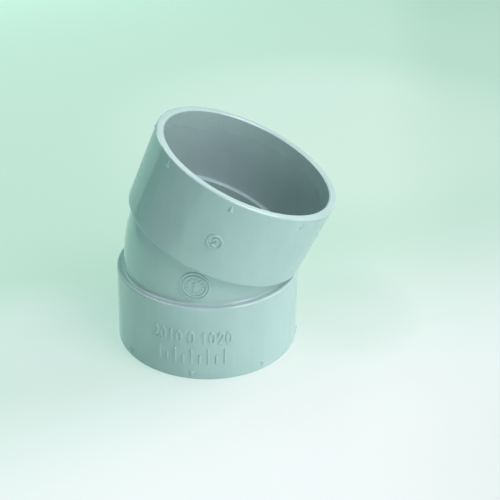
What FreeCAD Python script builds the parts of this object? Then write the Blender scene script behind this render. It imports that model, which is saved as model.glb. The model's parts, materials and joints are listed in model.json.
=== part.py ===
import FreeCAD, Part
import Sketcher
import math
import os

# A solvent-weld pipe elbow: two equal sockets joined by a short, gentle bend.
#
# The elbow stands on its lower mouth. The origin is the centre of that mouth, +Z runs up the
# axis of the lower socket, and the upper socket leans towards +X. All lengths are in
# millimetres and all angles in degrees.
#
# The real elbow is one moulding. Its nodes are the regions of that moulding that do separate
# work: each socket holds a pipe, the bend carries the pipe stops and turns the flow, and the
# raised marks, scale, dial and cavity number stand on the outside.

Vector = FreeCAD.Vector
Rotation = FreeCAD.Rotation
Placement = FreeCAD.Placement

ORIGIN = Vector(0, 0, 0)
X_AXIS = Vector(1, 0, 0)
Y_AXIS = Vector(0, 1, 0)
Z_AXIS = Vector(0, 0, 1)
FULL_TURN = 360
UPSIDE_DOWN = 180
# Two points or radii nearer than this are the same.
TOUCHING = 1e-4

# ---------------------------------------------------------------- driving sizes

SIZES = [
    # sockets
    ("pipe_diameter", 89.0, "outside of the pipe that each socket takes"),
    ("fit_clearance", 0.3, "gap round the pipe, which the cement fills"),
    ("socket_depth", 40.0, "mouth to pipe stop"),
    ("socket_wall", 4.0, "wall at the mouth"),
    ("outside_draft", 0.7, "wall lost between the mouth and the stop"),
    ("entry_chamfer", 0.6, "inner edge of the mouth"),
    ("rim_round", 0.9, "outer edge of the mouth"),
    # bend and pipe stops
    ("stop_lip", 3.2, "how far a pipe stop reaches in from the bore"),
    ("waist_wall", 2.85, "wall of the bend"),
    ("stop_thickness", 2.5, "web between a socket and the bend"),
    ("shoulder_round", 1.3, "outer edge of a web"),
    ("root_fillet", 1.2, "corner between a web and the bend"),
    ("bend_angle", 22.5, "lean of the upper socket"),
    ("throat_radius", 8.2, "radius of the inner side of the bend"),
    # raised details
    ("side_azimuth", -90.0, "side that carries the scale, the dial and the cavity number"),
    ("relief", 0.5, "how far scale, dial and numbers stand proud"),
    ("stroke", 1.1, "line width of ticks and figures"),
    # alignment marks round each mouth
    ("mark_count", 8, "marks on each socket"),
    ("mark_setback", 1.1, "mouth to the tip of a mark"),
    ("mark_length", 4.2, "tip to blunt end"),
    ("mark_width", 3.2, "across the blunt end"),
    ("mark_rise", 0.7, "peak of the blunt end above the wall"),
    # turn scale on the lower socket
    ("scale_angle", 10.0, "turn from one numbered tick to the next"),
    ("numbered_ticks", 5, "ticks with a number"),
    ("scale_lift", 4.3, "from the blunt ends of the marks to the ticks"),
    ("long_tick", 9.0, "length of a numbered tick"),
    ("short_tick", 5.5, "length of a tick between two numbered ones"),
    ("figure_lift", 3.0, "from the long ticks to the figures"),
    ("figure_tall", 7.4, "outside height of a figure"),
    ("figure_wide", 3.5, "outside width of a figure"),
    ("figure_gap", 0.5, "space between the figures of one number"),
    # date dial on the bend, from its middle outwards
    ("pointer_reach", 2.6, "middle of the dial to the tip of its pointer"),
    ("pointer_head", 1.6, "length of the barbs of the pointer"),
    ("dial_line", 0.9, "line width on the dial"),
    ("dial_gap", 0.7, "space between the pointer, the ticks and the two rings"),
    ("dial_tick", 1.3, "length of a dial tick"),
    ("dial_ticks", 12, "ticks round the dial"),
    # cavity number on the upper socket
    ("cavity_depth", 23.4, "mouth to the middle of the cavity ring"),
    ("cavity_diameter", 8.2, "outside of the cavity ring"),
    ("cavity_tall", 4.6, "outside height of the cavity figure"),
    ("cavity_wide", 2.9, "outside width of the cavity figure"),
    # gate scar at the back of the bend
    ("gate_diameter", 5.0, "trimmed sprue"),
]

doc = FreeCAD.newDocument("PipeElbow")
sheet = doc.addObject("Spreadsheet::Sheet", "Sizes")
for row, (alias, value, note) in enumerate(SIZES, start=1):
    sheet.set(f"A{row}", alias)
    sheet.set(f"B{row}", str(value))
    sheet.setAlias(f"B{row}", alias)
    sheet.set(f"C{row}", note)
doc.recompute()


def number(expression):
    """The value of an expression on the sheet, as a plain number."""
    result = sheet.evalExpression(expression)
    return float(getattr(result, "Value", result))


# ---------------------------------------------------------------- sizes that follow

BORE_RADIUS = "(Sizes.pipe_diameter / 2 + Sizes.fit_clearance)"
MOUTH_RADIUS = f"({BORE_RADIUS} + Sizes.socket_wall)"
STOP_RADIUS = f"({MOUTH_RADIUS} - Sizes.outside_draft)"
WATERWAY_RADIUS = f"({BORE_RADIUS} - Sizes.stop_lip)"
WAIST_RADIUS = f"({WATERWAY_RADIUS} + Sizes.waist_wall)"
BEND_RADIUS = f"({WAIST_RADIUS} + Sizes.throat_radius)"
SHOULDER_HEIGHT = "(Sizes.socket_depth + Sizes.stop_thickness)"
# The two straight axes meet at the bend point, at this height above the lower mouth.
BEND_POINT = f"({SHOULDER_HEIGHT} + {BEND_RADIUS} * tan(Sizes.bend_angle / 2))"

MARK_TIP = "Sizes.mark_setback"
MARK_END = "(Sizes.mark_setback + Sizes.mark_length)"
TICK_FOOT = f"({MARK_END} + Sizes.scale_lift)"
FIGURE_FOOT = f"({TICK_FOOT} + Sizes.long_tick + Sizes.figure_lift)"
SCALE_REACH = "(Sizes.scale_angle * (Sizes.numbered_ticks - 1) / 2)"
TICK_TURN = f"(2 * asin(Sizes.stroke / 2 / {MOUTH_RADIUS}))"


def wall_radius(height):
    """Expression for the outside radius of a socket at a height above its own mouth."""
    return f"({MOUTH_RADIUS} - Sizes.outside_draft * {height} / Sizes.socket_depth)"


# ---------------------------------------------------------------- document helpers

def bind(item, bindings):
    """Ties properties of a document object to expressions on the sheet."""
    for name, expression in bindings.items():
        item.setExpression(name, expression)


def new_body(name):
    body = doc.addObject("PartDesign::Body", name)
    body.Label = name
    return body


def new_sketch(body, name, role, height="0"):
    """A sketch on one of the body's origin planes, moved by height along its normal."""
    sketch = body.newObject("Sketcher::SketchObject", name)
    plane = next(item for item in body.Origin.OriginFeatures if item.Role == role)
    sketch.AttachmentSupport = [(plane, "")]
    sketch.MapMode = "FlatFace"
    sketch.setExpression("AttachmentOffset.Base.z", height)
    return sketch


def draw_outline(sketch, corners):
    """A closed outline through named corners: (name, x expression, y expression)."""
    points = [Vector(number(x), number(y), 0) for _, x, y in corners]
    count = len(corners)
    for edge in range(count):
        sketch.addGeometry(Part.LineSegment(points[edge], points[(edge + 1) % count]), False)
    for edge in range(count):
        sketch.addConstraint(Sketcher.Constraint("Coincident", edge, 2, (edge + 1) % count, 1))
    for edge, (name, x, y) in enumerate(corners):
        hold(sketch, "DistanceX", edge, f"{name}_x", x, points[edge].x)
        hold(sketch, "DistanceY", edge, f"{name}_y", y, points[edge].y)


def hold(sketch, kind, edge, name, expression, value):
    """Holds the start of an edge at a bound distance from the sketch's own origin."""
    index = sketch.addConstraint(Sketcher.Constraint(kind, -1, 1, edge, 1, value))
    sketch.renameConstraint(index, name)
    sketch.setExpression(f"Constraints.{name}", expression)


def draw_circle(sketch, name, radius):
    """A circle of bound radius round the sketch's own origin."""
    edge = sketch.addGeometry(Part.Circle(ORIGIN, Z_AXIS, number(radius)), False)
    index = sketch.addConstraint(Sketcher.Constraint("Radius", edge, number(radius)))
    sketch.renameConstraint(index, name)
    sketch.setExpression(f"Constraints.{name}", radius)
    sketch.addConstraint(Sketcher.Constraint("Coincident", edge, 3, -1, 1))


def add_feature(body, kind, name, **settings):
    feature = body.newObject(kind, name)
    for key, value in settings.items():
        setattr(feature, key, value)
    return feature


def circular_edges(shape, radius, fits):
    """Names of the shape's full or part circles of a radius whose centre passes the test."""
    names = []
    for index, edge in enumerate(shape.Edges, start=1):
        if not isinstance(edge.Curve, Part.Circle):
            continue
        if math.isclose(edge.Curve.Radius, radius, abs_tol=TOUCHING) and fits(edge.Curve.Center):
            names.append(f"Edge{index}")
    return names


def round_edges(body, kind, name, base, radius, fits, **bindings):
    """A fillet or chamfer on the circular edges of a base feature that pass the test."""
    doc.recompute()
    names = circular_edges(base.Shape, number(radius), fits)
    feature = add_feature(body, kind, name, Base=(base, names))
    bind(feature, bindings)
    return feature


# ---------------------------------------------------------------- sockets

def at_mouth(centre):
    return abs(centre.z) < TOUCHING


def make_socket(name):
    """A socket with its mouth on the XY plane and its pipe stop above it."""
    body = new_body(name)
    section = new_sketch(body, f"{name}_section", "XZ_Plane")
    draw_outline(section, [
        ("bore_mouth", BORE_RADIUS, "0"),
        ("outer_mouth", MOUTH_RADIUS, "0"),
        ("outer_stop", STOP_RADIUS, "Sizes.socket_depth"),
        ("bore_stop", BORE_RADIUS, "Sizes.socket_depth"),
    ])
    wall = add_feature(body, "PartDesign::Revolution", f"{name}_wall", Profile=section,
                       ReferenceAxis=(section, ["V_Axis"]), Angle=FULL_TURN)
    entry = round_edges(body, "PartDesign::Chamfer", f"{name}_entry", wall, BORE_RADIUS,
                        at_mouth, Size="Sizes.entry_chamfer")
    round_edges(body, "PartDesign::Fillet", f"{name}_rim", entry, MOUTH_RADIUS,
                at_mouth, Radius="Sizes.rim_round")
    return body


def stand_on_upper_mouth(item):
    """Turns an item over about the Y axis and sets it at the upper mouth."""
    item.setExpression(
        "Placement",
        f"create(<<placement>>; create(<<vector>>; {BEND_POINT} * sin(Sizes.bend_angle); 0;"
        f" {BEND_POINT} * (1 + cos(Sizes.bend_angle)));"
        f" create(<<rotation>>; create(<<vector>>; 0; 1; 0);"
        f" {UPSIDE_DOWN} + Sizes.bend_angle))",
    )


lower_socket = make_socket("lower_socket")
upper_socket = make_socket("upper_socket")
stand_on_upper_mouth(upper_socket)

# ---------------------------------------------------------------- bend with its pipe stops

bend = new_body("bend_body")

# The tube is a ring section swung about the throat's centre line.
tube_section = new_sketch(bend, "tube_section", "XY_Plane", SHOULDER_HEIGHT)
draw_circle(tube_section, "waist", WAIST_RADIUS)
draw_circle(tube_section, "waterway", WATERWAY_RADIUS)
swing_foot = Vector(number(BEND_RADIUS), -number(WAIST_RADIUS), 0)
swing_head = Vector(number(BEND_RADIUS), number(WAIST_RADIUS), 0)
swing = tube_section.addGeometry(Part.LineSegment(swing_foot, swing_head), True)
tube_section.addConstraint(Sketcher.Constraint("Vertical", swing))
hold(tube_section, "DistanceX", swing, "swing_x", BEND_RADIUS, swing_foot.x)
hold(tube_section, "DistanceY", swing, "swing_y", f"-{WAIST_RADIUS}", swing_foot.y)
length = tube_section.addConstraint(
    Sketcher.Constraint("DistanceY", swing, 1, swing, 2, 2 * swing_head.y)
)
tube_section.renameConstraint(length, "swing_length")
tube_section.setExpression("Constraints.swing_length", f"2 * {WAIST_RADIUS}")
bend_tube = add_feature(bend, "PartDesign::Revolution", "bend_tube", Profile=tube_section,
                        ReferenceAxis=(tube_section, ["Axis0"]))
bind(bend_tube, {"Angle": "Sizes.bend_angle"})

# Each pipe stop is a flat web, and the upper one mirrors the lower one in the mitre plane.
stop_section = new_sketch(bend, "stop_section", "XY_Plane", "Sizes.socket_depth")
draw_circle(stop_section, "shoulder", STOP_RADIUS)
draw_circle(stop_section, "opening", WATERWAY_RADIUS)
lower_stop = add_feature(bend, "PartDesign::Pad", "lower_stop", Profile=stop_section)
bind(lower_stop, {"Length": "Sizes.stop_thickness"})

mitre = add_feature(bend, "PartDesign::Plane", "mitre_plane", MapMode="FlatFace")
mitre.AttachmentSupport = stop_section.AttachmentSupport
mitre.AttachmentOffset = Placement(ORIGIN, Rotation(Y_AXIS, number("Sizes.bend_angle / 2")))
bind(mitre, {
    "AttachmentOffset.Base.z": BEND_POINT,
    "AttachmentOffset.Rotation.Angle": "Sizes.bend_angle / 2",
})
both_stops = add_feature(bend, "PartDesign::Mirrored", "both_stops", Originals=[lower_stop],
                         MirrorPlane=(mitre, [""]))
bend.Tip = both_stops

bend_point = Vector(0, 0, number(BEND_POINT))
shoulder_reach = number(f"{BEND_POINT} - {SHOULDER_HEIGHT}")


def at_shoulder(centre):
    """True on the two planes where the webs meet the bend."""
    return abs(centre.distanceToPoint(bend_point) - shoulder_reach) < TOUCHING


roots = round_edges(bend, "PartDesign::Fillet", "root_fillets", both_stops, WAIST_RADIUS,
                    at_shoulder, Radius="Sizes.root_fillet")
round_edges(bend, "PartDesign::Fillet", "shoulder_rounds", roots, STOP_RADIUS,
            at_shoulder, Radius="Sizes.shoulder_round")

# ---------------------------------------------------------------- alignment marks

def make_marks(name):
    """Small roof-shaped pointers round a mouth, tips towards the rim."""
    body = new_body(name)
    buried = "Sizes.socket_wall / 2"
    blunt = new_sketch(body, f"{name}_blunt", "XY_Plane", MARK_END)
    foot = f"({wall_radius(MARK_END)} - {buried})"
    draw_outline(blunt, [
        ("left_foot", foot, "-Sizes.mark_width / 2"),
        ("left_eave", wall_radius(MARK_END), "-Sizes.mark_width / 2"),
        ("ridge", f"{wall_radius(MARK_END)} + Sizes.mark_rise", "0"),
        ("right_eave", wall_radius(MARK_END), "Sizes.mark_width / 2"),
        ("right_foot", foot, "Sizes.mark_width / 2"),
    ])
    tip = new_sketch(body, f"{name}_tip", "XY_Plane", MARK_TIP)
    tip.addGeometry(Part.Point(Vector(number(wall_radius(MARK_TIP)), 0, 0)), False)
    hold(tip, "DistanceX", 0, "tip_x", wall_radius(MARK_TIP), number(wall_radius(MARK_TIP)))
    tip.addConstraint(Sketcher.Constraint("PointOnObject", 0, 1, -1))
    doc.recompute()
    pointer = add_feature(body, "PartDesign::AdditiveLoft", f"{name}_pointer", Profile=blunt,
                          Sections=[(tip, ["Vertex1"])], Ruled=True)
    pattern = add_feature(body, "PartDesign::PolarPattern", f"{name}_ring",
                          Originals=[pointer], Axis=(blunt, ["N_Axis"]), Angle=FULL_TURN)
    bind(pattern, {"Occurrences": "Sizes.mark_count"})
    body.Tip = pattern
    # What lies inside the socket wall is taken away, so that the marks sit on its surface.
    wall = new_sketch(body, f"{name}_wall", "XZ_Plane")
    draw_outline(wall, [
        ("axis_foot", "0", "0"),
        ("wall_foot", MOUTH_RADIUS, "0"),
        ("wall_head", STOP_RADIUS, "Sizes.socket_depth"),
        ("axis_head", "0", "Sizes.socket_depth"),
    ])
    add_feature(body, "PartDesign::Groove", f"{name}_seat", Profile=wall,
                ReferenceAxis=(wall, ["V_Axis"]), Angle=FULL_TURN)
    return body


lower_marks = make_marks("lower_alignment_marks")
upper_marks = make_marks("upper_alignment_marks")
stand_on_upper_mouth(upper_marks)

# ---------------------------------------------------------------- turn scale: ticks

def make_ticks(name, tick_length, count, first_azimuth):
    """Ticks a scale step apart, raised on the lower socket's tapered wall."""
    body = new_body(name)
    head = f"({TICK_FOOT} + {tick_length})"
    section = new_sketch(body, f"{name}_section", "XZ_Plane")
    draw_outline(section, [
        ("foot", wall_radius(TICK_FOOT), TICK_FOOT),
        ("proud_foot", f"{wall_radius(TICK_FOOT)} + Sizes.relief", TICK_FOOT),
        ("proud_head", f"{wall_radius(head)} + Sizes.relief", head),
        ("head", wall_radius(head), head),
    ])
    tick = add_feature(body, "PartDesign::Revolution", f"{name}_tick", Profile=section,
                       ReferenceAxis=(section, ["V_Axis"]), Midplane=True)
    bind(tick, {"Angle": TICK_TURN})
    row = add_feature(body, "PartDesign::PolarPattern", f"{name}_row", Originals=[tick],
                      Axis=(section, ["V_Axis"]))
    bind(row, {"Occurrences": count, "Angle": f"Sizes.scale_angle * ({count} - 1)"})
    body.Tip = row
    body.Placement = Placement(ORIGIN, Rotation(Z_AXIS, number("Sizes.side_azimuth")))
    bind(body, {"Placement.Rotation.Angle": first_azimuth})
    return body


make_ticks("scale_long_ticks", "Sizes.long_tick", "Sizes.numbered_ticks",
           f"Sizes.side_azimuth - {SCALE_REACH}")
make_ticks("scale_short_ticks", "Sizes.short_tick", "(Sizes.numbered_ticks - 1)",
           f"Sizes.side_azimuth - {SCALE_REACH} + Sizes.scale_angle / 2")

# ---------------------------------------------------------------- raised figures and rings

# Each figure is one pen line on a grid two units wide and two units tall, foot at zero.
FIGURES = {
    "0": [(-1, 0.6), (-1, 1.4), (-0.5, 2), (0.5, 2), (1, 1.4), (1, 0.6), (0.5, 0), (-0.5, 0), (-1, 0.6)],
    "1": [(-0.6, 1.6), (0, 2), (0, 0)],
    "2": [(-1, 1.5), (-0.5, 2), (0.5, 2), (1, 1.5), (1, 1.2), (-1, 0), (1, 0)],
    "3": [(-1, 1.7), (-0.5, 2), (0.5, 2), (1, 1.6), (0.3, 1.1), (1, 0.6), (0.5, 0), (-0.5, 0), (-1, 0.3)],
    "4": [(0.5, 0), (0.5, 2), (-1, 0.6), (1, 0.6)],
    "5": [(0.9, 2), (-0.8, 2), (-0.9, 1.2), (0.5, 1.2), (1, 0.8), (1, 0.4), (0.5, 0), (-1, 0)],
    "6": [(0.8, 2), (-0.5, 1.5), (-1, 0.6), (-0.5, 0), (0.5, 0), (1, 0.5), (0.5, 1), (-0.8, 0.9)],
    "7": [(-1, 2), (1, 2), (-0.3, 0)],
    "8": [(0, 1.1), (-0.8, 1.6), (-0.4, 2), (0.4, 2), (0.8, 1.6), (0, 1.1), (-1, 0.5), (-0.5, 0),
          (0.5, 0), (1, 0.5), (0, 1.1)],
    "9": [(-0.8, 0), (0.5, 0.5), (1, 1.4), (0.5, 2), (-0.5, 2), (-1, 1.5), (-0.5, 1), (0.8, 1.1)],
}
GRID = 2

# Turns a flat drawing so that its x runs round the axis, its y along it and its z outwards.
FACING_OUT = Rotation(Vector(1, 1, 1), 120)

line_width = number("Sizes.stroke")
wall = number("Sizes.socket_wall")
waist_radius = number(WAIST_RADIUS)
bend_radius = number(BEND_RADIUS)
half_bend = Rotation(Y_AXIS, number("Sizes.bend_angle / 2"))
swing_centre = Vector(bend_radius, 0, number(SHOULDER_HEIGHT))
middle_of_bend = swing_centre - half_bend.multVec(X_AXIS) * bend_radius


def pen_line(points, width):
    """A bar of even width along the points, with round ends and joints, as deep as a wall."""
    pieces = [Part.makeCylinder(width / 2, wall, point) for point in points]
    for start, end in zip(points, points[1:]):
        along = end - start
        bar = Part.makeBox(along.Length, width, wall, Vector(0, -width / 2, 0))
        bar.Placement = Placement(start, Rotation(X_AXIS, along))
        pieces.append(bar)
    return pieces[0].multiFuse(pieces[1:]).removeSplitter()


def figure(name, wide, tall, width):
    """A figure of outside size wide by tall, standing on the drawing's x axis."""
    across = (wide - width) / GRID
    up = (tall - width) / GRID
    points = [Vector(x * across, width / 2 + y * up, 0) for x, y in FIGURES[name]]
    return pen_line(points, width)


def ring(outer_radius, width):
    return Part.makeCylinder(outer_radius, wall).cut(
        Part.makeCylinder(outer_radius - width, wall)
    )


def proud_of(blank, surface, outer_surface):
    """The part of a deep blank that lies between a surface and the same surface raised."""
    return blank.common(outer_surface.cut(surface))


def sunk(blank):
    """The blank moved inwards, so that it reaches through the surface it is drawn on."""
    return blank.translated(Vector(0, 0, -wall / 2))


def place_on_socket(blank, azimuth, height):
    """The blank set on the wall of a socket that stands on its mouth, cut to the relief."""
    around = Rotation(Z_AXIS, azimuth)
    seat = around.multVec(X_AXIS) * number(wall_radius(height)) + Z_AXIS * number(height)
    placed = sunk(blank).transformed(Placement(seat, around * FACING_OUT).Matrix)
    relief = number("Sizes.relief")
    depth = number("Sizes.socket_depth")
    foot = number(MOUTH_RADIUS)
    head = number(STOP_RADIUS)
    surface = Part.makeCone(foot, head, depth)
    return proud_of(placed, surface, Part.makeCone(foot + relief, head + relief, depth))


def place_on_bend(blank, azimuth):
    """The blank set on the outside of the bend, half way round it, cut to the relief."""
    turned = half_bend * Rotation(Z_AXIS, azimuth) * FACING_OUT
    seat = middle_of_bend + turned.multVec(Z_AXIS) * waist_radius
    placed = sunk(blank).transformed(Placement(seat, turned).Matrix)
    raised = waist_radius + number("Sizes.relief")
    surface = Part.makeTorus(bend_radius, waist_radius, swing_centre, Y_AXIS)
    return proud_of(placed, surface, Part.makeTorus(bend_radius, raised, swing_centre, Y_AXIS))


def new_relief(name, solids):
    item = doc.addObject("Part::Feature", name)
    item.Label = name
    item.Shape = Part.makeCompound([solid for shape in solids for solid in shape.Solids])
    return item


# ---------------------------------------------------------------- turn scale: numbers

def scale_figures():
    """The turn in degrees over each long tick, counted both ways from the middle one."""
    figures = []
    step = number("Sizes.scale_angle")
    wide = number("Sizes.figure_wide")
    tall = number("Sizes.figure_tall")
    pitch = math.degrees((wide + number("Sizes.figure_gap")) / number(wall_radius(FIGURE_FOOT)))
    middle = (number("Sizes.numbered_ticks") - 1) / 2
    for index in range(int(number("Sizes.numbered_ticks"))):
        turn = step * (index - middle)
        text = str(round(abs(turn)))
        for place, name in enumerate(text):
            azimuth = number("Sizes.side_azimuth") + turn + pitch * (place - (len(text) - 1) / 2)
            blank = figure(name, wide, tall, line_width)
            figures.append(place_on_socket(blank, azimuth, FIGURE_FOOT))
    return figures


new_relief("scale_numbers", scale_figures())

# ---------------------------------------------------------------- date dial

def dial_parts():
    """Pointer, ticks and two rings, laid out from the middle of the dial outwards."""
    line = number("Sizes.dial_line")
    gap = number("Sizes.dial_gap")
    reach = number("Sizes.pointer_reach")
    barb = number("Sizes.pointer_head") / math.sqrt(2)
    tip = Vector(0, reach - line / 2, 0)
    shaft = pen_line([-tip, tip], line)
    head = pen_line([tip + Vector(-barb, -barb, 0), tip, tip + Vector(barb, -barb, 0)], line)
    parts = [shaft.fuse(head).removeSplitter()]

    tick_foot = reach + gap
    tick_head = tick_foot + number("Sizes.dial_tick")
    count = int(number("Sizes.dial_ticks"))
    for index in range(count):
        out = Rotation(Z_AXIS, FULL_TURN * index / count).multVec(Y_AXIS)
        parts.append(pen_line([out * (tick_foot + line / 2), out * (tick_head - line / 2)], line))

    inner_ring = tick_head + gap + line
    parts.append(ring(inner_ring, line))
    parts.append(ring(inner_ring + gap + line, line))
    return parts


side = number("Sizes.side_azimuth")
new_relief("date_dial", [place_on_bend(part, side) for part in dial_parts()])

# ---------------------------------------------------------------- cavity number

def cavity_parts():
    """A ring round a single figure, drawn upside down because its socket is turned over."""
    tall = number("Sizes.cavity_tall")
    centred = figure("2", number("Sizes.cavity_wide"), tall, line_width)
    centred = centred.translated(Vector(0, -tall / 2, 0))
    return [
        ring(number("Sizes.cavity_diameter / 2"), line_width),
        centred.rotated(ORIGIN, Z_AXIS, UPSIDE_DOWN),
    ]


cavity_mark = new_relief(
    "cavity_mark",
    [place_on_socket(part, side, "Sizes.cavity_depth") for part in cavity_parts()],
)
stand_on_upper_mouth(cavity_mark)

# ---------------------------------------------------------------- gate scar

BACK_AZIMUTH = 180
gate = Part.makeCylinder(number("Sizes.gate_diameter / 2"), wall)
new_relief("gate_scar", [place_on_bend(gate, BACK_AZIMUTH)])

# ---------------------------------------------------------------- check and write the parts

doc.recompute()
for item in doc.Objects:
    if "Invalid" in item.State or "Error" in item.State:
        raise RuntimeError(f"{item.Name} did not recompute: {item.State}")

os.makedirs("parts", exist_ok=True)
for item in doc.Objects:
    if item.TypeId not in ("PartDesign::Body", "Part::Feature"):
        continue
    if item.Shape.isNull() or not item.Shape.isValid():
        raise RuntimeError(f"{item.Label} has no valid shape")
    item.Shape.exportStep(f"parts/{item.Label}.step")
    print(f"{item.Label}: {len(item.Shape.Solids)} solids, {item.Shape.Volume:.1f} mm3")
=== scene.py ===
import json
import math

import bmesh
import bpy
import numpy as np
from mathutils import Matrix, Vector


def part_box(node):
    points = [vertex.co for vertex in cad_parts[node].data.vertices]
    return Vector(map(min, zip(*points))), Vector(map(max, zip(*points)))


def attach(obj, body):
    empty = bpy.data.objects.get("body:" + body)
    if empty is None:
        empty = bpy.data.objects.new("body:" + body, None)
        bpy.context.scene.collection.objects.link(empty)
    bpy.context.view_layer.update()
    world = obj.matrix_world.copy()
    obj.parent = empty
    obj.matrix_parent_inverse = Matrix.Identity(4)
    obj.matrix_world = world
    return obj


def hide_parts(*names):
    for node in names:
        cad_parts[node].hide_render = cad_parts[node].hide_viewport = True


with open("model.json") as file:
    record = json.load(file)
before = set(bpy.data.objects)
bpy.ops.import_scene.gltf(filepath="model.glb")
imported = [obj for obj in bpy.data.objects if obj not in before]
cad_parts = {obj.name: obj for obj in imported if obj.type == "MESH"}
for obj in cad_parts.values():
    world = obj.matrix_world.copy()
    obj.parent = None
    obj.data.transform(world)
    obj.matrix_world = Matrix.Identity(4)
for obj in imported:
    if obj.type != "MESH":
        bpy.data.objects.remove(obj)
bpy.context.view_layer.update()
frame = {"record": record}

# A moulded pipe elbow on a pale paper floor. Lengths are in metres in the frame of the packed
# model: the lower mouth is centred on the origin, +Z is up and the upper socket leans to +X.

MM = 0.001
FULL_TURN = 2 * math.pi
HALF_TURN = math.pi
WHITE = (1.0, 1.0, 1.0, 1.0)

scene = bpy.context.scene

# ---------------------------------------------------------------- sizes read from the frame

mounts = {mount["name"]: mount for mount in frame["record"]["mounts"]}
upper_mouth = mounts["upper_socket_bore"]
UPPER_MOUTH = Vector(upper_mouth["pos_m"])
LEAN = math.atan2(upper_mouth["axis"][0], upper_mouth["axis"][2])
BEND_POINT = UPPER_MOUTH.x / math.sin(LEAN)
BORE_RADIUS = upper_mouth["dims"]["r_mm"] * MM
MOUTH_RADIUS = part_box("lower_socket")[1].x
STOP_RADIUS = -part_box("bend_body")[0].x
SOCKET_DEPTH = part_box("lower_socket")[1].z

# Sizes of the moulding that no box or mount gives.
STOP_THICKNESS = 2.5 * MM
STOP_LIP = 3.2 * MM
WAIST_WALL = 2.85 * MM
ENTRY_CHAMFER = 0.6 * MM
RIM_ROUND = 0.9 * MM
SHOULDER_ROUND = 1.3 * MM
ROOT_FILLET = 1.2 * MM
LIP_ROUND = 0.35 * MM
BORE_FILLET = 0.3 * MM
CHAMFER_ROUND = 0.15 * MM

SHOULDER = SOCKET_DEPTH + STOP_THICKNESS
WATERWAY_RADIUS = BORE_RADIUS - STOP_LIP
WAIST_RADIUS = WATERWAY_RADIUS + WAIST_WALL
BEND_RADIUS = (BEND_POINT - SHOULDER) / math.tan(LEAN / 2)
TAPER = (MOUTH_RADIUS - STOP_RADIUS) / SOCKET_DEPTH
SIDE = -HALF_TURN / 2

swing_centre = Vector((BEND_RADIUS, 0, SHOULDER))
to_upper_mouth = Matrix.Translation(UPPER_MOUTH) @ Matrix.Rotation(HALF_TURN + LEAN, 4, "Y")


def wall_radius(height):
    """Outside radius of a socket at a height above its own mouth."""
    return MOUTH_RADIUS - TAPER * height


# ---------------------------------------------------------------- shader helpers

def linear(*shade):
    """A colour given as 0 to 255 screen values, as the linear values that shaders take."""
    parts = [value / 255 for value in shade]
    return [v / 12.92 if v <= 0.04045 else ((v + 0.055) / 1.055) ** 2.4 for v in parts] + [1.0]


class Signal:
    """A socket in a node tree. Arithmetic on it adds Math nodes."""

    def __init__(self, tree, socket):
        self.tree = tree
        self.socket = socket

    def math(self, operation, first, second=0.0):
        return self.tree.node("ShaderNodeMath", {"operation": operation}, {0: first, 1: second})

    def __add__(self, other):
        return self.math("ADD", self, other)

    def __radd__(self, other):
        return self.math("ADD", other, self)

    def __sub__(self, other):
        return self.math("SUBTRACT", self, other)

    def __rsub__(self, other):
        return self.math("SUBTRACT", other, self)

    def __mul__(self, other):
        return self.math("MULTIPLY", self, other)

    def __rmul__(self, other):
        return self.math("MULTIPLY", other, self)


class Tree:
    """Adds nodes to a node tree: settings first, then values or links of the sockets."""

    def __init__(self, tree):
        self.tree = tree

    def node(self, kind, settings=None, inputs=None, output=0):
        node = self.tree.nodes.new(kind)
        for name, value in (settings or {}).items():
            setattr(node, name, value)
        for name, value in (inputs or {}).items():
            self.feed(node.inputs[name], value)
        return Signal(self, node.outputs[output])

    def feed(self, socket, value):
        if isinstance(value, Signal):
            self.tree.links.new(value.socket, socket)
        else:
            socket.default_value = value

    def show(self, shader, output="Material Output"):
        """Takes a shader as what the surface shows."""
        self.feed(self.tree.nodes[output].inputs["Surface"], shader)

    def mix(self, factor, first, second, blend="MIX"):
        """Two colours mixed by a factor."""
        node = self.tree.nodes.new("ShaderNodeMix")
        node.data_type = "RGBA"
        node.blend_type = blend
        sockets = [item for item in node.inputs if item.type == "RGBA"]
        self.feed(node.inputs[0], factor)
        self.feed(sockets[0], first)
        self.feed(sockets[1], second)
        return Signal(self, next(item for item in node.outputs if item.type == "RGBA"))

    def ramp(self, value, low, high):
        """0 below low, 1 above high and a soft step between them."""
        return self.node(
            "ShaderNodeMapRange",
            {"interpolation_type": "SMOOTHSTEP", "clamp": True},
            {"Value": value, "From Min": low, "From Max": high},
        )

    def noise(self, place, scale, detail=3.0, roughness=0.5):
        return self.node(
            "ShaderNodeTexNoise", {},
            {"Vector": place, "Scale": scale, "Detail": detail, "Roughness": roughness},
        )

    def vector_math(self, operation, place, other, output=0):
        return self.node("ShaderNodeVectorMath", {"operation": operation},
                         {0: place, 1: other}, output)

    def stretched(self, place, factors):
        """The place with each of its axes scaled."""
        return self.vector_math("MULTIPLY", place, factors)

    def distance(self, place, point):
        """How far the place lies from a point."""
        return self.vector_math("DISTANCE", place, point, "Value")

    def along(self, place, way):
        """How far the place lies along a direction."""
        return self.vector_math("DOT_PRODUCT", place, way, "Value")

    def bump(self, height, strength, distance):
        """Normals of a surface that has this height on it."""
        return self.node("ShaderNodeBump", {},
                         {"Strength": strength, "Distance": distance, "Height": height})


def new_finish(name):
    """A new material, its tree and its surface shader."""
    material = bpy.data.materials.new(name)
    material.use_nodes = True
    return material, Tree(material.node_tree), material.node_tree.nodes["Principled BSDF"].inputs


# ---------------------------------------------------------------- moulded plastic

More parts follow.
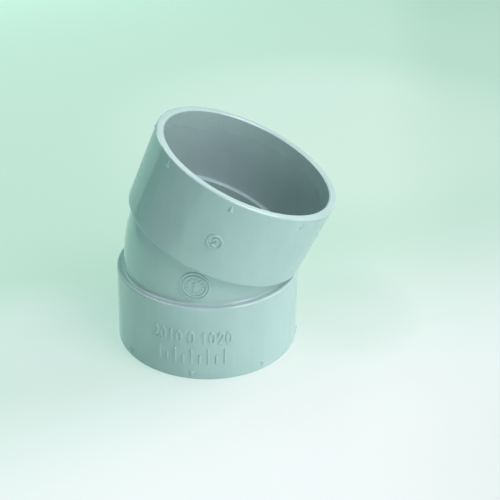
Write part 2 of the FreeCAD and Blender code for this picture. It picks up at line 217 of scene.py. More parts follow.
PVC_LIGHT = linear(166, 188, 189)
PVC_DEEP = linear(160, 182, 183)
PVC_RUBBED = linear(176, 196, 197)
PVC_IOR = 1.52
PVC_POLISH = 0.08
CLOUD_SCALE = 34.0
FLOW_STRETCH = (150.0, 150.0, 16.0)
TONE_RANGE = (0.32, 0.68)
PATCH_SCALE = 420.0
PATCH_RANGE = (0.45, 0.75)
SCUFF_STRETCH = (900.0, 900.0, 110.0)
SCUFF_RANGE = (0.66, 0.78)
SKIN_SCALE = 1500.0
SWELL_SCALE = 55.0
SKIN_STRENGTH = 0.35
SKIN_HEIGHT = 0.12 * MM


def moulded_pvc():
    """Semi-gloss grey plastic: faint flow streaks, a fine skin and slightly rubbed edges."""
    material, tree, surface = new_finish("moulded_pvc")
    place = tree.node("ShaderNodeTexCoord", output="Object")

    cloud = tree.noise(place, CLOUD_SCALE, 4.0, 0.55)
    flow = tree.noise(tree.stretched(place, FLOW_STRETCH), 1.0, 3.0, 0.6)
    tone = tree.ramp(cloud * 0.6 + flow * 0.4, *TONE_RANGE)
    colour = tree.mix(tone, PVC_DEEP, PVC_LIGHT)

    edge = tree.node("ShaderNodeAttribute", {"attribute_name": "edge"}, output="Fac")
    patches = tree.ramp(tree.noise(place, PATCH_SCALE, 4.0, 0.65), *PATCH_RANGE)
    colour = tree.mix(edge * patches * 0.4, colour, PVC_RUBBED)

    scuffs = tree.noise(tree.stretched(place, SCUFF_STRETCH), 1.0, 2.0, 0.5)
    scuffed = tree.ramp(scuffs, *SCUFF_RANGE)
    grain = tree.noise(place, SKIN_SCALE, 2.0, 0.5)
    swell = tree.noise(place, SWELL_SCALE, 1.0, 0.4)
    height = grain * 0.10 + swell * 0.8 - scuffed * 0.05

    tree.feed(surface["Base Color"], colour)
    tree.feed(surface["Roughness"], PVC_POLISH + 0.07 * cloud + 0.06 * scuffed + 0.20 * edge)
    tree.feed(surface["Normal"], tree.bump(height, SKIN_STRENGTH, SKIN_HEIGHT))
    surface["IOR"].default_value = PVC_IOR
    return material


pvc = moulded_pvc()

# ---------------------------------------------------------------- mesh helpers

MERGE_DISTANCE = 1e-7
SHARP_ANGLE = math.radians(38)
ARC_STEP = math.radians(11)
SUPPORT = 0.3
LONGEST_REACH = 0.49


def skin(loops, stack_closed=False):
    """Faces between loops of equally many points, each loop closed on itself."""
    count = len(loops[0])
    faces = []
    for level in range(len(loops) if stack_closed else len(loops) - 1):
        here = level * count
        there = (level + 1) % len(loops) * count
        for step in range(count):
            after = (step + 1) % count
            faces.append((here + step, here + after, there + after, there + step))
    return np.concatenate(loops), faces


def joined(shapes):
    """Several (points, faces) as one."""
    points = []
    faces = []
    start = 0
    for shape_points, shape_faces in shapes:
        points.append(np.asarray(shape_points))
        faces.extend([tuple(start + corner for corner in face) for face in shape_faces])
        start += len(shape_points)
    return np.concatenate(points), faces


def moved(shape, place):
    """A shape with each of its points passed through a function."""
    points, faces = shape
    return np.array([place(*point) for point in points]), faces


def through(matrix):
    """A function that passes a point through a matrix."""
    return lambda x, y, z: tuple(matrix @ Vector((x, y, z)))


def new_mesh(name, shape, edge=None):
    """A mesh of a shape, with doubles merged and its faces turned outwards."""
    points, faces = shape
    mesh = bpy.data.meshes.new(name)
    mesh.from_pydata([tuple(point) for point in points], [], faces)
    if edge is not None:
        mesh.attributes.new("edge", "FLOAT", "POINT").data.foreach_set("value", edge)
    work = bmesh.new()
    work.from_mesh(mesh)
    bmesh.ops.remove_doubles(work, verts=work.verts, dist=MERGE_DISTANCE)
    bmesh.ops.recalc_face_normals(work, faces=work.faces)
    work.to_mesh(mesh)
    work.free()
    return mesh


def finish_piece(name, mesh, *nodes):
    """An object of a finished mesh, which stands for CAD nodes and rides on the one body."""
    piece = bpy.data.objects.new(name, mesh)
    scene.collection.objects.link(piece)
    if not mesh.materials:
        mesh.materials.append(pvc)
    mesh.shade_smooth()
    mesh.set_sharp_from_angle(angle=SHARP_ANGLE)
    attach(piece, "root")
    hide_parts(*nodes)


def rounded(corners, closed=False, support=SUPPORT):
    """A path through corners (x, y, radius), with an arc at each corner that has a radius.

    A further point follows each arc at a share of its radius, to keep the flats flat.
    """
    count = len(corners)
    path = []
    for index, (x, y, radius) in enumerate(corners):
        here = np.array((x, y))
        if radius == 0 or (not closed and index in (0, count - 1)):
            path.append(here)
            continue
        back = np.array(corners[index - 1][:2]) - here
        ahead = np.array(corners[(index + 1) % count][:2]) - here
        back_length = np.linalg.norm(back)
        ahead_length = np.linalg.norm(ahead)
        back = back / back_length
        ahead = ahead / ahead_length
        half = math.acos(np.clip(back @ ahead, -1, 1)) / 2
        reach = min(radius / math.tan(half),
                    LONGEST_REACH * back_length, LONGEST_REACH * ahead_length)
        radius = reach * math.tan(half)
        centre = here + (back + ahead) / np.linalg.norm(back + ahead) * radius / math.sin(half)
        start = here + back * reach - centre
        sweep = HALF_TURN - 2 * half
        end = here + ahead * reach - centre
        turn = math.copysign(1, start[0] * end[1] - start[1] * end[0])
        steps = max(2, math.ceil(sweep / ARC_STEP))
        if support:
            path.append(here + back * (reach + support * radius))
        for step in range(steps + 1):
            angle = turn * sweep * step / steps
            cos, sin = math.cos(angle), math.sin(angle)
            spoke = (start[0] * cos - start[1] * sin, start[0] * sin + start[1] * cos)
            path.append(centre + np.array(spoke))
        if support:
            path.append(here + ahead * (reach + support * radius))
    return path


# ---------------------------------------------------------------- the moulding

COLUMNS = 256
azimuths = np.arange(COLUMNS) * FULL_TURN / COLUMNS
mitre_normal = np.array((math.sin(LEAN / 2), 0, math.cos(LEAN / 2)))
bend_point = np.array((0, 0, BEND_POINT))


def ring_direction(turn):
    """Outward directions round the tube, where it has turned by that much."""
    cos, sin = np.cos(turn), np.sin(turn)
    around = np.cos(azimuths)
    return np.stack([around * cos, np.sin(azimuths), -around * sin], axis=1)


def ring_centre(turn):
    """Middle of the tube, where it has turned by that much."""
    turn = np.broadcast_to(turn, azimuths.shape)
    return np.stack([
        BEND_RADIUS * (1 - np.cos(turn)), np.zeros(COLUMNS), SHOULDER + BEND_RADIUS * np.sin(turn)
    ], axis=1)


def tube_ring(radius, turn):
    return ring_centre(turn) + radius * ring_direction(turn)


def socket_ring(radius, height):
    """A circle round the lower socket's axis."""
    return radius * ring_direction(0.0) + np.array((0, 0, height))


def mirrored(ring):
    """A ring of the lower half, as its twin of the upper half."""
    away = (ring - bend_point) @ mitre_normal
    return ring - 2 * away[:, None] * mitre_normal


# A ball in the corner between the shoulder and the waist touches both along a line. Its middle
# lies a fillet's radius above the shoulder, where the tube has turned by this much.
ball_turn = np.arcsin(ROOT_FILLET / (BEND_RADIUS - (WAIST_RADIUS + ROOT_FILLET) * np.cos(azimuths)))
ball = tube_ring(WAIST_RADIUS + ROOT_FILLET, ball_turn)


def root_ring(share):
    """A line along the root fillet, from the shoulder at 0 to the waist at 1."""
    down = np.tile((0.0, 0.0, -1.0), (COLUMNS, 1))
    inward = -ring_direction(ball_turn)
    angle = np.arccos(np.clip((down * inward).sum(axis=1), -1, 1))[:, None]
    spoke = (np.sin((1 - share) * angle) * down + np.sin(share * angle) * inward) / np.sin(angle)
    return ball + ROOT_FILLET * spoke


def lerp(first, second, share):
    return first + (second - first) * share


ROOT_STEPS = 8
TUBE_STEPS = 9
# Shares of the way at which a further ring keeps the shoulder and the waist true beside the fillet.
SHOULDER_SUPPORT = 0.2
WAIST_SUPPORT = 0.03
RUBBED_REACH = 0.7 * MM

waterway = [tube_ring(WATERWAY_RADIUS, LEAN / 2 * (1 - step / TUBE_STEPS))
            for step in range(TUBE_STEPS)]
stop_face = [socket_ring(*point) for point in rounded([
    (WATERWAY_RADIUS, SHOULDER, 0),
    (WATERWAY_RADIUS, SOCKET_DEPTH, LIP_ROUND),
    (BORE_RADIUS - BORE_FILLET, SOCKET_DEPTH, 0),
])]
socket_profile = rounded([
    (BORE_RADIUS - BORE_FILLET, SOCKET_DEPTH, 0),
    (BORE_RADIUS, SOCKET_DEPTH, BORE_FILLET),
    (BORE_RADIUS, ENTRY_CHAMFER, CHAMFER_ROUND),
    (BORE_RADIUS + ENTRY_CHAMFER, 0, CHAMFER_ROUND),
    (MOUTH_RADIUS, 0, RIM_ROUND),
    (wall_radius(SOCKET_DEPTH), SOCKET_DEPTH, 0),
])
shoulder_profile = rounded([
    (wall_radius(SOCKET_DEPTH), SOCKET_DEPTH, 0),
    (wall_radius(SHOULDER), SHOULDER, SHOULDER_ROUND),
    (WAIST_RADIUS + ROOT_FILLET, SHOULDER, 0),
])[:-1]
shoulder = [socket_ring(*point) for point in shoulder_profile]
root = [root_ring(step / ROOT_STEPS) for step in range(ROOT_STEPS + 1)]
root.insert(0, lerp(root[0], shoulder[-1], SHOULDER_SUPPORT))
half_turn_of_tube = np.full(COLUMNS, LEAN / 2)
waist = [tube_ring(WAIST_RADIUS, lerp(ball_turn, half_turn_of_tube, share))
         for share in [WAIST_SUPPORT] + [step / TUBE_STEPS for step in range(1, TUBE_STEPS + 1)]]
lower_half = waterway + stop_face + shoulder + root + waist
bend_rings = lower_half + [mirrored(ring) for ring in reversed(lower_half[1:-1])]
socket_rings = [socket_ring(*point) for point in socket_profile]
upper_socket_rings = [mirrored(ring) for ring in socket_rings]

# 1 for every point near the edges of the entry chamfer, which pipes rub on, 0 for the others.
chamfer_edges = [(BORE_RADIUS, ENTRY_CHAMFER), (BORE_RADIUS + ENTRY_CHAMFER, 0)]
near_chamfer = [min(math.dist(point, edge) for edge in chamfer_edges) < RUBBED_REACH
                for point in socket_profile]
rubbed = np.repeat(near_chamfer, COLUMNS).astype(float)

finish_piece("bend", new_mesh("bend", skin(bend_rings, True)), "bend_body")
finish_piece("lower_pipe_socket",
             new_mesh("lower_pipe_socket", skin(socket_rings, True), rubbed), "lower_socket")
finish_piece("upper_pipe_socket",
             new_mesh("upper_pipe_socket", skin(upper_socket_rings, True), rubbed), "upper_socket")

# ---------------------------------------------------------------- what repeats

def repeating_tree():
    """Geometry nodes that set copies of a shape round the Z axis."""
    tree = bpy.data.node_groups.new("repeat_round_axis", "GeometryNodeTree")
    for name, kind in [("Shape", "Geometry"), ("Count", "Int"), ("First turn", "Float"),
                       ("Turn between", "Float"), ("Finish", "Material")]:
        tree.interface.new_socket(name, in_out="INPUT", socket_type=f"NodeSocket{kind}")
    tree.interface.new_socket("Result", in_out="OUTPUT", socket_type="NodeSocketGeometry")
    make = Tree(tree)
    given = tree.nodes.new("NodeGroupInput").outputs
    points = make.node("GeometryNodePoints", {}, {"Count": Signal(make, given["Count"])})
    index = make.node("GeometryNodeInputIndex")
    turn = index * Signal(make, given["Turn between"]) + Signal(make, given["First turn"])
    around = make.node("ShaderNodeCombineXYZ", {}, {"Z": turn})
    copies = make.node("GeometryNodeInstanceOnPoints", {}, {
        "Points": points,
        "Instance": Signal(make, given["Shape"]),
        "Rotation": make.node("FunctionNodeEulerToRotation", {}, {"Euler": around}),
    })
    whole = make.node("GeometryNodeRealizeInstances", {}, {"Geometry": copies})
    result = make.node("GeometryNodeSetMaterial", {}, {
        "Geometry": whole, "Material": Signal(make, given["Finish"]),
    })
    make.feed(tree.nodes.new("NodeGroupOutput").inputs["Result"], result)
    return tree


repeat_round_axis = repeating_tree()


def repeated(name, shape, count, first_turn, turn_between):
    """A mesh of copies of a shape, set round the Z axis."""
    source = bpy.data.objects.new(name, new_mesh(f"{name}_one", shape))
    scene.collection.objects.link(source)
    modifier = source.modifiers.new("repeat", "NODES")
    modifier.node_group = repeat_round_axis
    values = {"Count": count, "First turn": first_turn, "Turn between": turn_between, "Finish": pvc}
    for item in repeat_round_axis.interface.items_tree:
        if item.name in values:
            modifier[item.identifier] = values[item.name]
    depsgraph = bpy.context.evaluated_depsgraph_get()
    mesh = bpy.data.meshes.new_from_object(source.evaluated_get(depsgraph))
    source.modifiers.clear()
    bpy.data.objects.remove(source)
    mesh.name = name
    return mesh


def reshape(mesh, place):
    """Passes each point of a mesh through a function."""
    for vertex in mesh.vertices:
        vertex.co = place(*vertex.co)
    return mesh


# ---------------------------------------------------------------- alignment marks

MARK_WIDTH = 3.2 * MM
MARK_RISE = 0.7 * MM
MARK_SOFTNESS = 0.14 * MM
SUNK = 0.15 * MM
MARKS = 8

mark_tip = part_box("lower_alignment_marks")[0].z
mark_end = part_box("lower_alignment_marks")[1].z


def mark_shape():
    """One roof-shaped pointer on the socket's wall, its tip towards the mouth."""
    half = MARK_WIDTH / 2
    tip = wall_radius(mark_tip)
    end = wall_radius(mark_end)
    points = [
        (tip, 0, mark_tip),
        (end, -half, mark_end), (end + MARK_RISE, 0, mark_end), (end, half, mark_end),
        (tip - SUNK, 0, mark_tip - SUNK),
        (end - SUNK, -half - SUNK, mark_end), (end - SUNK, half + SUNK, mark_end),
    ]
    faces = [(0, 1, 2), (0, 2, 3), (1, 5, 6, 3, 2), (0, 4, 5, 1), (0, 3, 6, 4), (4, 6, 5)]
    work = bmesh.new()
    corners = [work.verts.new(point) for point in points]
    for face in faces:
        work.faces.new([corners[corner] for corner in face])
    work.edges.ensure_lookup_table()
    ridge = corners[2]
    bmesh.ops.bevel(work, geom=[edge for edge in work.edges if ridge in edge.verts],
                    offset=MARK_SOFTNESS, segments=3, profile=0.5, affect="EDGES")
    work.verts.index_update()
    shape = (np.array([tuple(vertex.co) for vertex in work.verts]),
             [tuple(vertex.index for vertex in face.verts) for face in work.faces])
    work.free()
    return shape


marks = mark_shape()
finish_piece("marks_round_lower_mouth",
             repeated("marks_round_lower_mouth", marks, MARKS, 0.0, FULL_TURN / MARKS),
             "lower_alignment_marks")
upper_marks = repeated("marks_round_upper_mouth", marks, MARKS, 0.0, FULL_TURN / MARKS)
finish_piece("marks_round_upper_mouth", reshape(upper_marks, through(to_upper_mouth)),
             "upper_alignment_marks")

# ---------------------------------------------------------------- raised pen lines

RELIEF = 0.5 * MM
STROKE = 1.1 * MM
CAP_STEPS = 8
CIRCLE_STEPS = 96
# Section of half a raised line: (share of the half width, height above the wall).
LINE_SECTION = [(0.0, -SUNK), (1.0, -SUNK), (1.0, 0.0), (0.93, 0.5 * RELIEF), (0.80, 0.84 * RELIEF),
                (0.62, 0.97 * RELIEF), (0.4, RELIEF), (0.0, RELIEF)]


def outline(path, reach, closed):
    """A closed loop at a distance from a path: to its left where closed, else right round it."""
    path = np.array(path)
    count = len(path)
    if closed:
        before = path - np.roll(path, 1, axis=0)
        after = np.roll(path, -1, axis=0) - path
    else:
        steps = np.diff(path, axis=0)
        before = np.concatenate([steps[:1], steps])
        after = np.concatenate([steps, steps[-1:]])
    before = before / np.linalg.norm(before, axis=1)[:, None]
    after = after / np.linalg.norm(after, axis=1)[:, None]
    along = before + after
    along = along / np.linalg.norm(along, axis=1)[:, None]
    left = np.stack([-along[:, 1], along[:, 0]], axis=1)
    spread = (1 / np.clip((before * along).sum(axis=1), 0.5, 1))[:, None]
    if closed:
        return path + reach * spread * left
    loop = list(path + reach * spread * left)
    for end, start_direction in ((count - 1, left[-1]), (0, -left[0])):
        start = math.atan2(start_direction[1], start_direction[0])
        for step in range(1, CAP_STEPS):
            angle = start - HALF_TURN * step / CAP_STEPS
            loop.append(path[end] + reach * np.array((math.cos(angle), math.sin(angle))))
        if end:
            loop.extend(reversed(path - reach * spread * left))
    return np.array(loop)


def raised_line(path, width=STROKE, closed=False):
    """A raised line of soft section along a flat path, as points (across, up, outwards)."""
    section = list(LINE_SECTION)
    if closed:
        section += [(-share, height) for share, height in reversed(LINE_SECTION[1:-1])]
    loops = []
    for share, height in section:
        flat = outline(path, share * width / 2, closed)
        loops.append(np.column_stack([flat, np.full(len(flat), height)]))
    return skin(loops, closed)


def circle(radius, count=CIRCLE_STEPS):
    turns = [FULL_TURN * step / count for step in range(count)]
    return [(radius * math.cos(turn), radius * math.sin(turn)) for turn in turns]


# Figures as pen lines on a grid two units wide and tall: (corners x, y, rounding, closed line).
FIGURES = {
    "0": [([(-1, 0.6), (-1, 1.4), (-0.45, 2), (0.45, 2), (1, 1.4), (1, 0.6), (0.45, 0), (-0.45, 0)],
           1.2, True)],
    "1": [([(-0.6, 1.6), (0, 2)], 0, False), ([(0, 2), (0, 0)], 0, False)],
    "2": [([(-1, 1.45), (-0.6, 2), (0.6, 2), (1, 1.5), (0.9, 1.1), (-1, 0)], 1.0, False),
          ([(-1, 0), (1, 0)], 0, False)],
}


def figure(name, wide, tall, width=STROKE):
    """The raised lines of one figure, standing on the drawing's own origin."""
    across = (wide - width) / 2
    up = (tall - width) / 2
    lines = []
    for corners, softness, closed in FIGURES[name]:
        path = [(x * across, width / 2 + y * up, softness * MM) for x, y in corners]
        lines.append(raised_line(rounded(path, closed, 0), width, closed))
    return joined(lines)


def on_socket(azimuth, height):
    """Places a drawing on the wall of a socket that stands on its mouth."""
    cos, sin = math.cos(azimuth), math.sin(azimuth)

    def place(across, up, out):
        flat = wall_radius(height)
        x, y = flat * cos - across * sin, flat * sin + across * cos
        stretch = (wall_radius(height + up) + out) / math.hypot(x, y)
        return (x * stretch, y * stretch, height + up)

    return place


def on_bend(azimuth):
    """Places a drawing on the outside of the bend, half way round it."""
    half = Matrix.Rotation(LEAN / 2, 4, "Y")
    out_way = half @ Vector((math.cos(azimuth), math.sin(azimuth), 0))
    across_way = half @ Vector((-math.sin(azimuth), math.cos(azimuth), 0))
    up_way = half @ Vector((0, 0, 1))
    middle = swing_centre - half @ Vector((BEND_RADIUS, 0, 0))

    def place(across, up, out):
        flat = middle + out_way * WAIST_RADIUS + across_way * across + up_way * up
        from_swing = flat - swing_centre
        spoke = Vector((from_swing.x, 0, from_swing.z)).normalized()
        core = swing_centre + spoke * BEND_RADIUS
        return tuple(core + (flat - core).normalized() * (WAIST_RADIUS + out))

    return place


# ---------------------------------------------------------------- turn scale

SCALE_TURN = math.radians(10)
NUMBERED_TICKS = 5
FIGURE_WIDE = 3.5 * MM
FIGURE_GAP = 0.5 * MM

first_tick = SIDE - SCALE_TURN * (NUMBERED_TICKS - 1) / 2


def tick_row(name, count, first_turn):
    """Ticks as long as the CAD node's, a scale's turn apart."""
    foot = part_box(name)[0].z
    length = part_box(name)[1].z - foot
    tick = raised_line([(0, STROKE / 2), (0, length / 2), (0, length - STROKE / 2)])
    one = moved(tick, on_socket(0.0, foot))
    piece = f"raised_{name}"
    finish_piece(piece, repeated(piece, one, count, first_turn, SCALE_TURN), name)


tick_row("scale_long_ticks", NUMBERED_TICKS, first_tick)
tick_row("scale_short_ticks", NUMBERED_TICKS - 1, first_tick + SCALE_TURN / 2)

figure_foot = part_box("scale_numbers")[0].z
figure_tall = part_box("scale_numbers")[1].z - figure_foot
figure_turn = (FIGURE_WIDE + FIGURE_GAP) / wall_radius(figure_foot)
scale_figures = []
for tick in range(NUMBERED_TICKS):
    turn = SCALE_TURN * (tick - (NUMBERED_TICKS - 1) / 2)
    text = str(round(math.degrees(abs(turn))))
    for place_in_text, name in enumerate(text):
        azimuth = SIDE + turn + figure_turn * (place_in_text - (len(text) - 1) / 2)
        scale_figures.append(moved(figure(name, FIGURE_WIDE, figure_tall),
                                   on_socket(azimuth, figure_foot)))
finish_piece("raised_scale_numbers", new_mesh("raised_scale_numbers", joined(scale_figures)),
             "scale_numbers")

# ---------------------------------------------------------------- date dial

DIAL_LINE = 0.9 * MM
DIAL_GAP = 0.7 * MM
DIAL_TICK = 1.3 * MM
DIAL_TICKS = 12
POINTER_REACH = 2.6 * MM
POINTER_HEAD = 1.6 * MM

dial_low, dial_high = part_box("date_dial")
outer_ring = (dial_high.x - dial_low.x) / 2 - DIAL_LINE / 2
inner_ring = outer_ring - DIAL_LINE - DIAL_GAP
tick_head = inner_ring - DIAL_LINE - DIAL_GAP
tick_foot = tick_head + DIAL_LINE - DIAL_TICK
tip = POINTER_REACH - DIAL_LINE / 2
barb = POINTER_HEAD / math.sqrt(2)
dial_lines = [
    raised_line(circle(outer_ring), DIAL_LINE, True),
    raised_line(circle(inner_ring), DIAL_LINE, True),
    raised_line([(0, -tip), (0, 0), (0, tip)], DIAL_LINE),
    raised_line([(-barb, tip - barb), (-barb / 2, tip - barb / 2), (0, tip)], DIAL_LINE),
    raised_line([(barb, tip - barb), (barb / 2, tip - barb / 2), (0, tip)], DIAL_LINE),
]
finish_piece("date_dial_rings_and_pointer",
             new_mesh("date_dial_rings_and_pointer", moved(joined(dial_lines), on_bend(SIDE))),
             "date_dial")
tick_middle = (tick_foot + tick_head) / 2
dial_tick = raised_line([(0, tick_foot), (0, tick_middle), (0, tick_head)], DIAL_LINE)
dial_ticks = repeated("date_dial_ticks", dial_tick, DIAL_TICKS, 0.0, FULL_TURN / DIAL_TICKS)
finish_piece("date_dial_ticks", reshape(dial_ticks, on_bend(SIDE)), "date_dial")

# ---------------------------------------------------------------- cavity number

CAVITY_WIDE = 2.9 * MM
CAVITY_TALL = 4.6 * MM
CAVITY_DEPTH = 23.4 * MM
CAVITY_RADIUS = 4.1 * MM

cavity_figure = moved(figure("2", CAVITY_WIDE, CAVITY_TALL),
                      lambda across, up, out: (-across, CAVITY_TALL / 2 - up, out))
cavity_lines = joined([
    raised_line(circle(CAVITY_RADIUS - STROKE / 2), STROKE, True),
    cavity_figure,
])
cavity = moved(moved(cavity_lines, on_socket(SIDE, CAVITY_DEPTH)), through(to_upper_mouth))
finish_piece("ringed_cavity_number", new_mesh("ringed_cavity_number", cavity), "cavity_mark")

# ---------------------------------------------------------------- gate scar

GATE_COLUMNS = 40
GATE_SEED = 7
GATE_ROUGHNESS = 0.12
# Levels of the scar: (share of its radius, height above the wall).
GATE_LEVELS = [(0.0, -SUNK), (1.0, -SUNK), (1.0, 0.0), (0.97, 0.45 * RELIEF), (0.90, 0.72 * RELIEF),
               (0.78, 0.80 * RELIEF), (0.62, 0.74 * RELIEF), (0.45, 0.84 * RELIEF),
               (0.28, 0.78 * RELIEF), (0.13, 0.86 * RELIEF), (0.0, 0.84 * RELIEF)]
GATE_TORN_SHARE = 0.95

gate_radius = (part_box("gate_scar")[1].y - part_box("gate_scar")[0].y) / 2
rough = np.random.default_rng(GATE_SEED)
gate_loops = []
for share, height in GATE_LEVELS:
    flat = np.array(circle(share * gate_radius, GATE_COLUMNS))
    torn = rough.uniform(-GATE_ROUGHNESS, GATE_ROUGHNESS, GATE_COLUMNS) * RELIEF
    lifted = height + (torn if 0 < height and 0 < share < GATE_TORN_SHARE else 0)
    gate_loops.append(np.column_stack([flat, np.full(GATE_COLUMNS, lifted)]))
gate = moved(skin(gate_loops), on_bend(HALF_TURN))
finish_piece("trimmed_gate_scar", new_mesh("trimmed_gate_scar", gate), "gate_scar")

# ---------------------------------------------------------------- floor

PAPER_MINT = linear(193, 227, 212)
PAPER_MIDDLE = linear(205, 233, 221)
# The nearly white shade of the light painted on the floor.
PAINTED_LIGHT_PALE = linear(237, 248, 247)
# What the paper's shade is multiplied by: where painted shade darkens it on the right, where it
# glows, where lamps light it for the camera, and where it sends light back at the elbow.
PAINTED_SHADE_TINT = (0.90, 0.93, 0.92, 1.0)
GLOW_TINT = (0.95, 1.06, 1.03, 1.0)
LIT_TINT = (1.06, 0.74, 0.83, 1.0)
BOUNCE_TINT = (0.90, 0.98, 0.94, 1.0)
SELF_LIT = 0.71

# Places and directions on the floor, in metres, and the distances between which a shade fades.
MIDDLE = (0.06, 0.32, 0.0)
MIDDLE_FADE = (0.10, 0.24)
FAR_FADE = (0.5, 1.6)
# A painted pool of light on the floor left of the elbow, which weakens the elbow's shadow there.
LEFT_PAINTED_LIGHT = (-0.088, -0.022, 0.0)
LEFT_PAINTED_LIGHT_FADE = (0.015, 0.065)
LEFT_PAINTED_LIGHT_STRENGTH = 0.38
# Painted shade on the floor right of the elbow and along the right side, where the lamps light it
# more.
RIGHT_PAINTED_SHADE = (0.080, 0.030, 0.0)
RIGHT_PAINTED_SHADE_FADE = (0.02, 0.06)
RIGHT_PAINTED_SHADE_STRENGTH = 0.8
TO_RIGHT = (1.0, 0.0, 0.0)
SIDE_FADE = (0.085, 0.165)
TO_PALE = (0.60, -0.80, 0.0)
PALE_FADE = (-0.07, 0.12)

GRAIN_SCALE = 900.0
GRAIN_STRENGTH = 0.1
GRAIN_HEIGHT = 0.2 * MM
FLOOR_HALF = 6.0
FLOOR_DROP = 0.1 * MM


def seen_rays(tree):
    """1 for what the camera sees, straight, in gloss or through glass."""
    rays = tree.tree.nodes.new("ShaderNodeLightPath").outputs
    seen = Signal(tree, rays["Is Camera Ray"])
    for name in ("Is Glossy Ray", "Is Transmission Ray"):
        seen = seen.math("MAXIMUM", seen, Signal(tree, rays[name]))
    return seen


def paper():
    """Mint matt paper, with a painted pool of nearly white light towards the near right, and
    painted light and shade beside the elbow.
    """
    material, tree, surface = new_finish("backdrop_paper")
    place = tree.node("ShaderNodeTexCoord", output="Object")
    seen = seen_rays(tree)
    from_middle = tree.distance(place, MIDDLE)
    far = tree.ramp(from_middle, *FAR_FADE)

    shade = tree.mix(tree.ramp(from_middle, *MIDDLE_FADE), PAPER_MIDDLE, PAPER_MINT)
    # Paler towards the near right: a painted pool of light.
    shade = tree.mix(tree.ramp(tree.along(place, TO_PALE), *PALE_FADE), shade, PAINTED_LIGHT_PALE)
    # Painted light on the floor left of the elbow, for the camera and the gloss alone, which
    # weakens its shadow.
    painted_light_left = 1 - tree.ramp(tree.distance(place, LEFT_PAINTED_LIGHT), *LEFT_PAINTED_LIGHT_FADE)
    shade = tree.mix(painted_light_left * seen * LEFT_PAINTED_LIGHT_STRENGTH, shade, PAINTED_LIGHT_PALE)
    # Painted shade near the elbow on the right and along the right side.
    painted_shade_right = (1 - tree.ramp(tree.distance(place, RIGHT_PAINTED_SHADE), *RIGHT_PAINTED_SHADE_FADE)) * RIGHT_PAINTED_SHADE_STRENGTH
    painted_shade_side = tree.ramp(tree.along(place, TO_RIGHT), *SIDE_FADE)
    painted_shade = tree.mix(1.0, shade, PAINTED_SHADE_TINT, "MULTIPLY")
    shade = tree.mix(painted_shade_right.math("MAXIMUM", painted_shade_right, painted_shade_side), shade, painted_shade)
    shade = tree.mix(far, shade, PAPER_MINT)

    tint = tree.mix(seen, BOUNCE_TINT, LIT_TINT)
    grain = tree.noise(place, GRAIN_SCALE, 3.0, 0.6)
    tree.feed(surface["Base Color"], tree.mix(1.0, shade, tint, "MULTIPLY"))
    tree.feed(surface["Normal"], tree.bump(grain, GRAIN_STRENGTH, GRAIN_HEIGHT))
    surface["Roughness"].default_value = 0.9
    surface["Specular IOR Level"].default_value = 0.1

    glow_shade = tree.mix(1.0, shade, tree.mix(far, GLOW_TINT, WHITE), "MULTIPLY")
    glow = tree.node("ShaderNodeEmission", {}, {"Color": glow_shade, "Strength": 1.0})
    lit = Signal(tree, tree.tree.nodes["Principled BSDF"].outputs[0])
    tree.show(tree.node("ShaderNodeMixShader", {},
                        {0: seen * (SELF_LIT + (1 - SELF_LIT) * far), 1: lit, 2: glow}))
    return material


def studio_item(name, points, faces, material):
    """An object of the studio, which isn't part of the elbow."""
    mesh = bpy.data.meshes.new(name)
    mesh.from_pydata(points, [], faces)
    mesh.materials.append(material)
    item = bpy.data.objects.new(name, mesh)
    scene.collection.objects.link(item)
    return item


floor_corners = [(x * FLOOR_HALF, y * FLOOR_HALF, -FLOOR_DROP)
                 for x, y in ((-1, -1), (1, -1), (1, 1), (-1, 1))]
floor = studio_item("paper_floor", floor_corners, [(0, 1, 2, 3)], paper())

# ---------------------------------------------------------------- light from the room

ROOM_SHADE = linear(226, 232, 234)
ROOM_STRENGTH = 0.02


def room():
    """Dim even light, with a pale backdrop where the camera looks past the floor."""
    world = bpy.data.worlds.new("studio")
    world.use_nodes = True
    tree = Tree(world.node_tree)
    light = tree.node("ShaderNodeBackground", {},
                      {"Color": ROOM_SHADE, "Strength": ROOM_STRENGTH})
    backdrop = tree.node("ShaderNodeBackground", {}, {"Color": PAPER_MINT, "Strength": 1.0})
    tree.show(tree.node("ShaderNodeMixShader", {}, {0: seen_rays(tree), 1: light, 2: backdrop}),
              "World Output")
    return world


scene.world = room()

# ---------------------------------------------------------------- cards that show in the gloss

CARD_MINT = (0.40, 0.59, 0.50, 1.0)
CARD_DARK = (0.002, 0.002, 0.002, 1.0)
CARD_LILAC = (0.32, 0.10, 0.36, 1.0)
CARD_WHITE = (1.45, 1.75, 1.78, 1.0)
CEILING_WHITE = (4.4, 4.0, 4.5, 1.0)

CARD_DISTANCE = 0.28
LEFT_CARD_TOP = 0.13
BACK_CARD_TOP = 0.30
BACK_CARD_FADE = 0.03
CEILING_HEIGHT = 0.42
CEILING_CORNERS = ((-0.30, -0.15), (0.03, -0.15), (0.03, 0.30), (-0.30, 0.30))

# Columns of a standing card: azimuth in degrees, then a shade at each height.
LEFT_CARD = [(azimuth, [(0.0, shade), (LEFT_CARD_TOP, shade)]) for azimuth, shade in [
    (115, CARD_MINT), (164.2, CARD_MINT), (164.5, CARD_DARK), (181, CARD_DARK),
    (190, CARD_LILAC), (224, CARD_LILAC), (234, CARD_MINT)]]
BACK_CARD = [(azimuth, [(low - BACK_CARD_FADE / 2, PAPER_MINT), (low, shade),
                        (BACK_CARD_TOP, shade), (BACK_CARD_TOP + BACK_CARD_FADE, PAPER_MINT)])
             for azimuth, low, shade in [
                 (54, 0.19, PAPER_MINT), (60, 0.19, CARD_WHITE), (66, 0.20, CARD_WHITE),
                 (71, 0.24, CARD_WHITE), (84, 0.25, CARD_WHITE), (92, 0.25, PAPER_MINT)]]


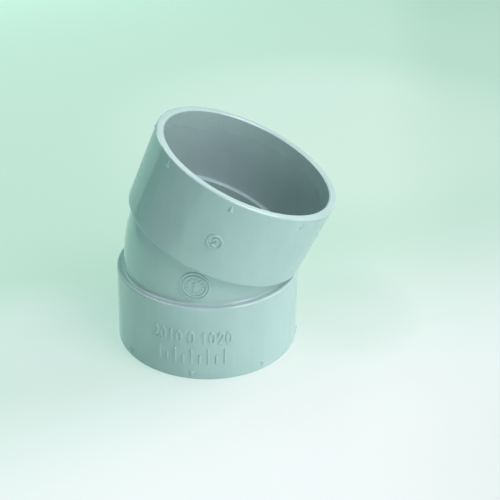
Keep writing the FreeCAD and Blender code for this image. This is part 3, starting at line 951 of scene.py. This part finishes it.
def gloss_card(name, points, faces, colours):
    """A card which shows in the elbow's gloss alone and casts no shadow."""
    material, tree, _ = new_finish(name)
    shade = tree.node("ShaderNodeAttribute", {"attribute_name": "shade"}, output="Color")
    tree.show(tree.node("ShaderNodeEmission", {}, {"Color": shade, "Strength": 1.0}))
    card = studio_item(name, points, faces, material)
    card.data.attributes.new("shade", "FLOAT_COLOR", "POINT").data.foreach_set("color", colours)
    for ray in ("camera", "diffuse", "transmission", "volume_scatter", "shadow"):
        setattr(card, f"visible_{ray}", False)


def standing_card(name, columns):
    """A card that stands round the elbow."""
    points = []
    colours = []
    for azimuth, column in columns:
        turn = math.radians(azimuth)
        for height, shade in column:
            points.append((CARD_DISTANCE * math.cos(turn), CARD_DISTANCE * math.sin(turn), height))
            colours.extend(shade)
    high = len(columns[0][1])
    faces = [(start, start + high, start + high + 1, start + 1)
             for start in range(len(points) - high) if start % high != high - 1]
    gloss_card(name, points, faces, colours)


standing_card("left_card", LEFT_CARD)
standing_card("back_card", BACK_CARD)
gloss_card("ceiling_card", [(x, y, CEILING_HEIGHT) for x, y in CEILING_CORNERS],
           [(0, 1, 2, 3)], CEILING_WHITE * len(CEILING_CORNERS))

# ---------------------------------------------------------------- lamps

LIT_POINT = Vector((0.01, 0.0, 0.06))
LAMP_DISTANCE = 1.2
LAMP_SIZE = 0.5
# Each lamp's azimuth and elevation in degrees, power in watts and colour.
LAMPS = {
    "window_high": (-30, 52, 7.5, (1.0, 0.92, 1.0)),
    "window_near": (-30, 30, 3.4, (0.95, 0.86, 1.0)),
    "window_right": (0, 52, 2.9, (0.91, 1.0, 0.86)),
    "window_low": (0, 8, 2.0, (0.97, 1.0, 0.90)),
    "window_far": (30, 52, 7.0, (0.92, 1.0, 0.87)),
    "wall_back": (120, 8, 9.9, (0.56, 0.97, 0.85)),
    "wall_left": (150, 30, 2.7, (0.58, 1.0, 0.87)),
    "wall_left_low": (150, 8, 4.2, (0.58, 0.96, 0.86)),
    "ceiling_left": (180, 52, 1.1, (0.88, 0.93, 1.0)),
    "table_front": (-90, 8, 3.5, (0.69, 1.0, 0.85)),
}


def soft_lamp(name, azimuth, elevation, power, shade):
    """A square soft light that faces the elbow."""
    data = bpy.data.lights.new(name, "AREA")
    data.shape = "SQUARE"
    data.size = LAMP_SIZE
    data.energy = power
    data.color = shade
    lamp = bpy.data.objects.new(name, data)
    scene.collection.objects.link(lamp)
    turn, rise = math.radians(azimuth), math.radians(elevation)
    way = Vector((math.cos(turn) * math.cos(rise), math.sin(turn) * math.cos(rise), math.sin(rise)))
    lamp.location = LIT_POINT + way * LAMP_DISTANCE
    lamp.rotation_euler = way.to_track_quat("Z", "Y").to_euler()
    lamp.visible_camera = False
    return lamp


lamps = {name: soft_lamp(name, *values) for name, values in LAMPS.items()}
# The lamp behind is kept out of the gloss, or the rim would flare along its far edge.
lamps["wall_back"].visible_glossy = False

# ---------------------------------------------------------------- camera

AIM = Vector((22.24 * MM, 0, 50.47 * MM))
CAMERA_AZIMUTH = math.radians(6.680)
CAMERA_ELEVATION = math.radians(29.387)
CAMERA_DISTANCE = 464.64 * MM
CAMERA_ROLL = math.radians(1.732)
SENSOR = 36.0
LENS = 63.68

camera_data = bpy.data.cameras.new("camera")
camera_data.sensor_width = SENSOR
camera_data.lens = LENS
camera = bpy.data.objects.new("camera", camera_data)
scene.collection.objects.link(camera)
away = Vector((math.sin(CAMERA_AZIMUTH) * math.cos(CAMERA_ELEVATION),
               -math.cos(CAMERA_AZIMUTH) * math.cos(CAMERA_ELEVATION),
               math.sin(CAMERA_ELEVATION)))
look = (-away).to_track_quat("-Z", "Y").to_matrix() @ Matrix.Rotation(CAMERA_ROLL, 3, "Z")
camera.matrix_world = Matrix.Translation(AIM + away * CAMERA_DISTANCE) @ look.to_4x4()
scene.camera = camera
scene.view_settings.view_transform = "Standard"
